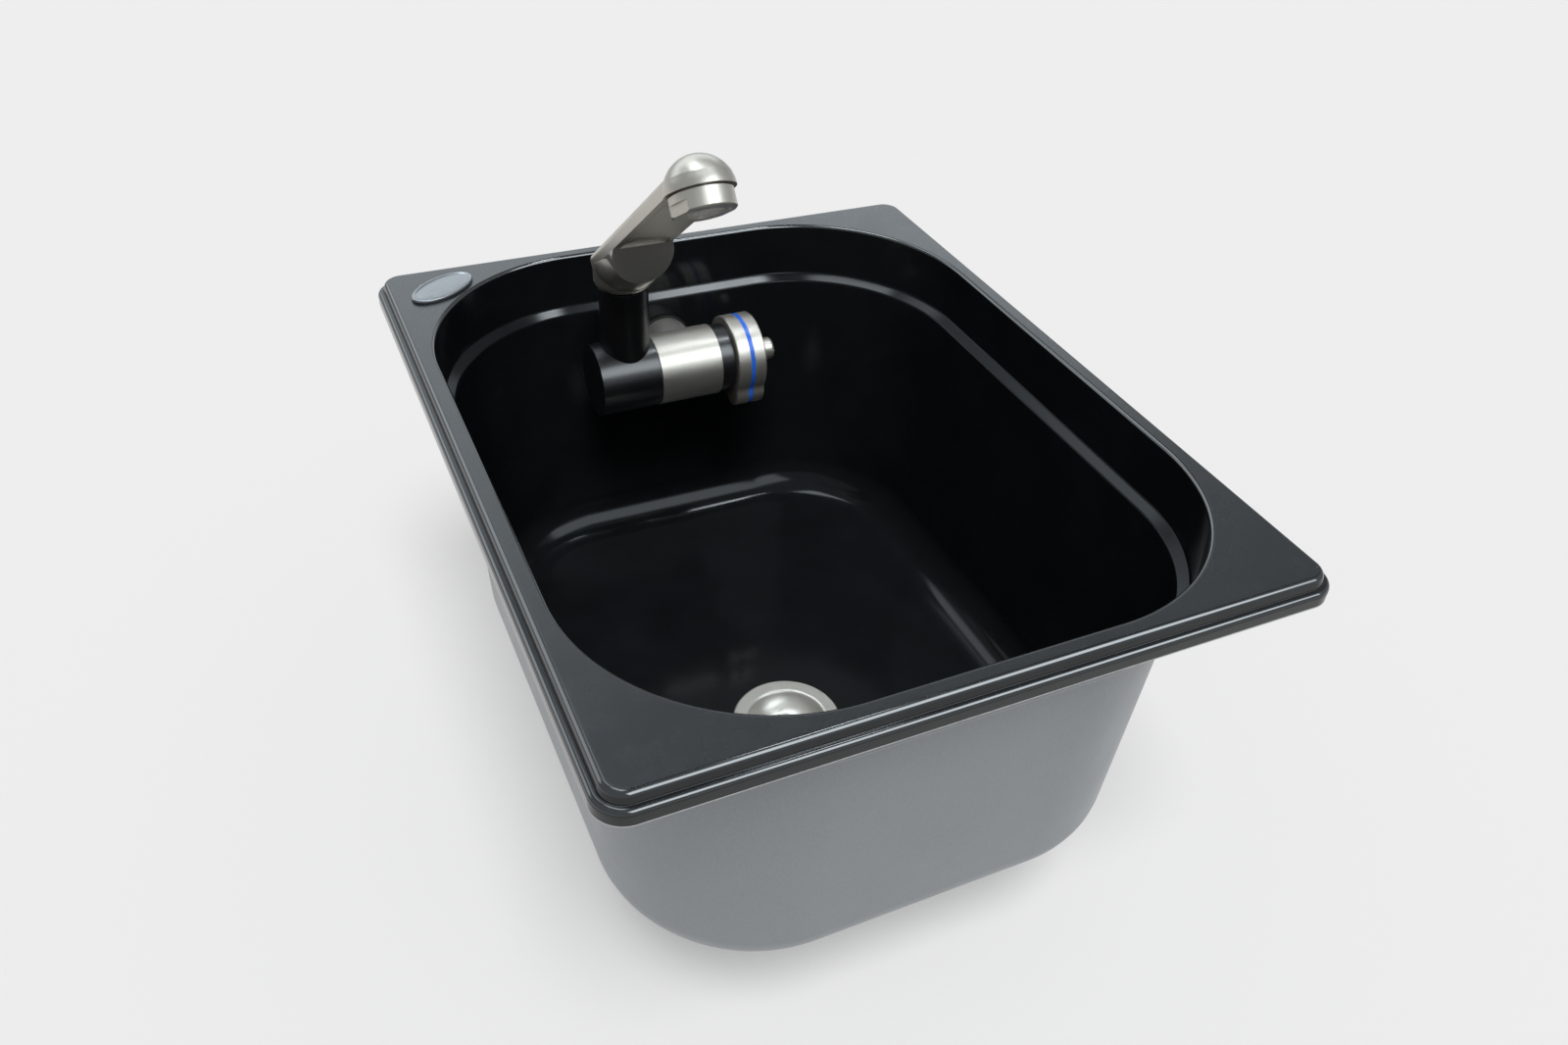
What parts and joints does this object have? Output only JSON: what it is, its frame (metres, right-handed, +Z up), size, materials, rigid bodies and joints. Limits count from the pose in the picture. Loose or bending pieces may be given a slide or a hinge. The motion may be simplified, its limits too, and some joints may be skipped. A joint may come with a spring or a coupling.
{
  "type": "camping sink",
  "caption": "Rectangular black-coated camping sink that hangs by its stepped rim, with a fold-down swivelling cold tap on the rear wall and a screwed waste outlet in its floor.",
  "frame": {"origin": "centre of the rim's seating plane, level with the bottom edge of the rim's skirt", "axes": "+Z up, +Y towards the wall that carries the tap, +X to the right seen from the front"},
  "size_m": [0.265, 0.3409, 0.2946],
  "materials": {
    "coated_steel": "black coat, glossy inside and satin on the flange; satin grey outside",
    "dark_plate": "satin",
    "stainless": "turned, bright",
    "brushed_nickel": "brushed nickel plate",
    "black_plastic": "semi-gloss",
    "white_plastic": "moulded",
    "blue_plastic": "gloss",
    "rubber": "matt",
    "brass": "machined",
    "disc_ceramic": "lapped"
  },
  "bodies": {
    "sink": {"basin": "coated_steel", "oval_plate": "dark_plate", "drain_strainer": "stainless", "drain_seal": "rubber", "drain_gasket": "rubber", "drain_body": "black_plastic", "drain_insert": "brass", "drain_screw": "stainless", "wall_stud": "stainless", "inner_wall_seal": "rubber", "outer_wall_seal": "rubber", "backing_washer": "stainless", "lock_nut": "brass", "valve_body": "brass", "body_sleeve": "brushed_nickel", "collar_ring": "black_plastic", "cartridge_shell": "white_plastic", "cartridge_seal": "rubber", "fixed_disc": "disc_ceramic", "fold_nut": "brass", "fold_orings": "rubber"},
    "elbow": {"elbow": "black_plastic", "elbow_cap": "black_plastic", "swivel_stop_pin": "stainless"},
    "spout": {"spout": "brushed_nickel", "spout_stem": "brass", "stem_orings": "rubber", "spout_underplate": "brushed_nickel", "aerator_housing": "brushed_nickel", "aerator_insert": "white_plastic", "aerator_seal": "rubber"},
    "knob": {"knob": "brushed_nickel", "knob_ring": "blue_plastic", "knob_screw": "stainless", "knob_cap": "brushed_nickel", "spindle": "brass", "spindle_oring": "rubber", "turning_disc": "disc_ceramic"}
  },
  "joints": [
    {"name": "tap_fold", "type": "hinge", "parent": "sink", "child": "elbow", "pos_m": [-0.0303, 0.1182, -0.03763], "axis": [1, 0, 0], "range_deg": [0, 80]},
    {"name": "spout_swivel", "type": "hinge", "parent": "elbow", "child": "spout", "pos_m": [-0.0303, 0.1182, 0.0095], "axis": [0, 0, 1], "range_deg": [-40, 40]},
    {"name": "knob_turn", "type": "hinge", "parent": "sink", "child": "knob", "pos_m": [0.0197, 0.1182, -0.03763], "axis": [-1, 0, 0], "range_deg": [0, 90]}
  ]
}
